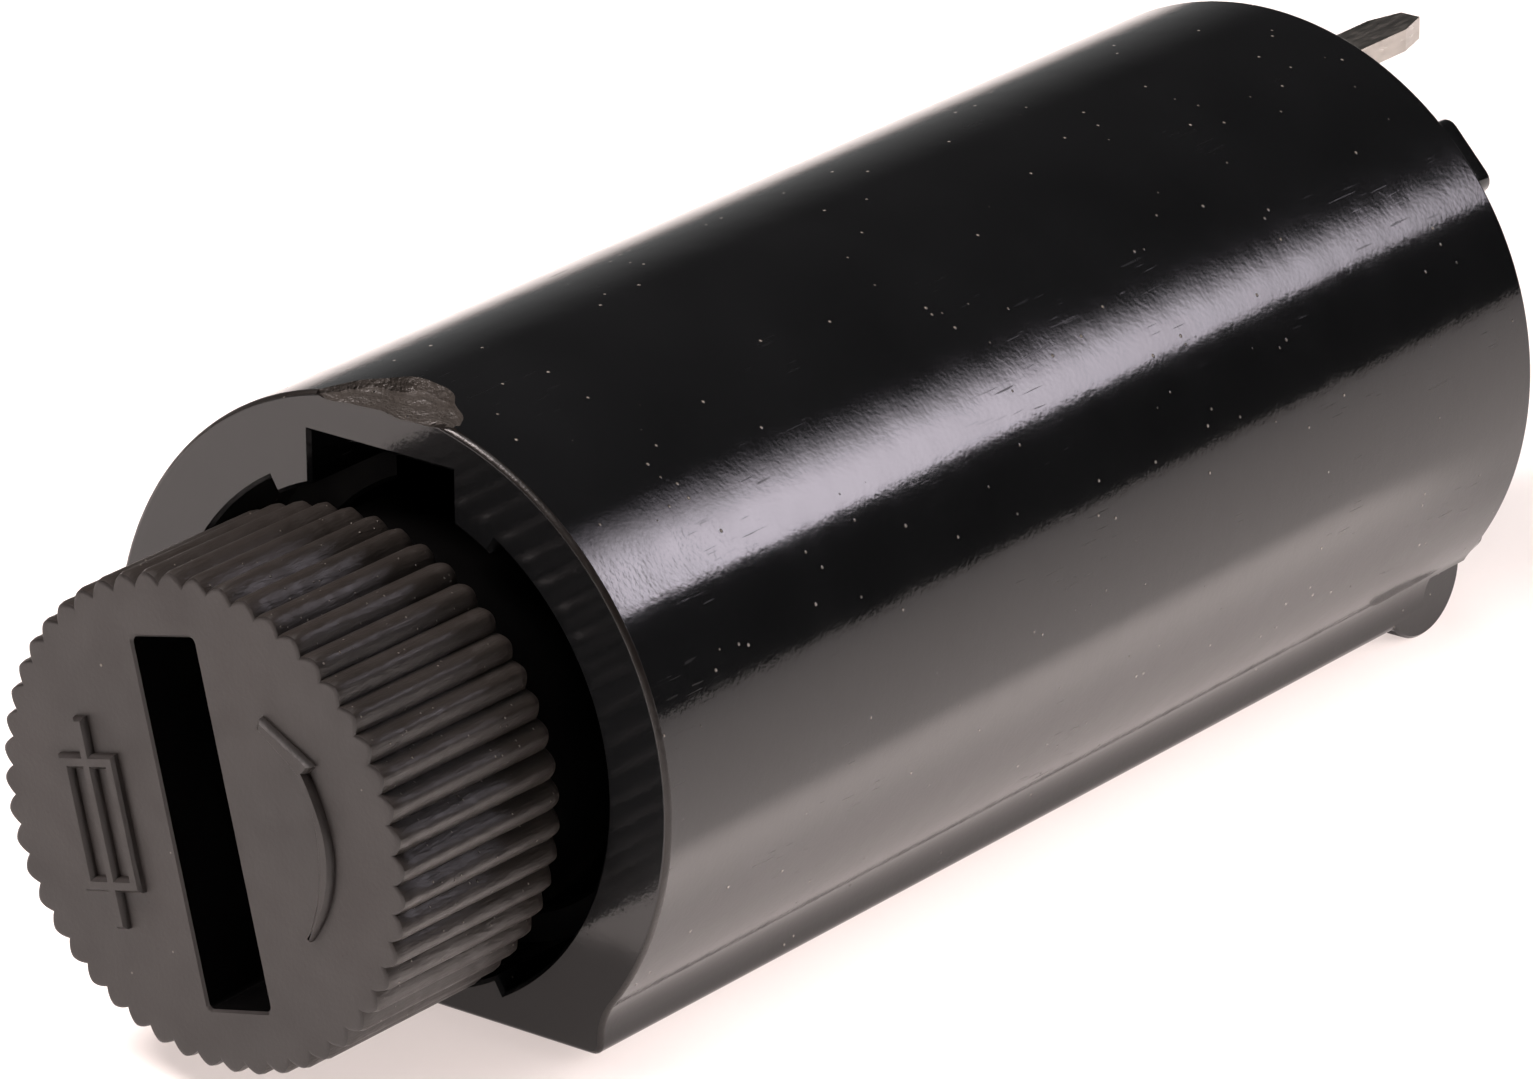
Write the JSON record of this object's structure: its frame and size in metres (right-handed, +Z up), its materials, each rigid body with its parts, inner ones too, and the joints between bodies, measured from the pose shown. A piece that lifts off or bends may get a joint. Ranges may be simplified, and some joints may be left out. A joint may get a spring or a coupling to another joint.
{
  "type": "cartridge fuse holder",
  "caption": "Round black fuse holder for a circuit board, with a flat base, a knurled bayonet cap with a driver slot, and flat solder pins at the rear.",
  "frame": {"origin": "on the holder's axis, in the plane of the four stand-off pads that meet the circuit board", "axes": "+Y along the holder's axis, out of the rear where the solder pins leave; +Z up from the flat base; +X to the right, seen from the cap"},
  "size_m": [0.014, 0.0406, 0.0128],
  "materials": {
    "black_moulding": "gloss moulded thermoplastic",
    "cap_moulding": "satin moulded thermoplastic",
    "tinned_brass": "tinned, dull",
    "nickel_plate": "nickel-plated brass",
    "brass": "bare brass",
    "spring_steel": "drawn spring wire",
    "clear_glass": "clear glass tube",
    "fuse_wire": "drawn fuse wire",
    "solder": "solder",
    "fibre": "vulcanised fibre"
  },
  "bodies": {
    "housing": {"housing": "black_moulding", "contact_ring": "nickel_plate", "side_terminal": "tinned_brass", "end_terminal": "tinned_brass", "spring_seat": "nickel_plate", "contact_spring": "spring_steel", "plunger_stop_ring": "fibre"},
    "plunger": {"contact_plunger": "brass"},
    "fuse": {"fuse_glass_tube": "clear_glass", "fuse_front_cap": "nickel_plate", "fuse_rear_cap": "nickel_plate", "fuse_element": "fuse_wire", "fuse_solder_beads": "solder"},
    "cap": {"bayonet_cap": "cap_moulding", "fuse_clip": "nickel_plate"}
  },
  "joints": [
    {"name": "plunger_travel", "type": "slide", "parent": "housing", "child": "plunger", "axis": [0, 1, 0], "range_m": [0, 0.0008], "deforming": ["contact_spring"]},
    {"name": "cap_pull", "type": "slide", "parent": "plunger", "child": "fuse", "axis": [0, -1, 0], "range_m": [0, 0.024]},
    {"name": "cap_turn", "type": "hinge", "parent": "fuse", "child": "cap", "pos_m": [0, -0.03, 0], "axis": [0, 1, 0], "range_deg": [0, 45]}
  ],
  "couplings": [
    {"joint": "cap_turn", "follows": "plunger_travel", "rad_per_m": 981.75}
  ]
}
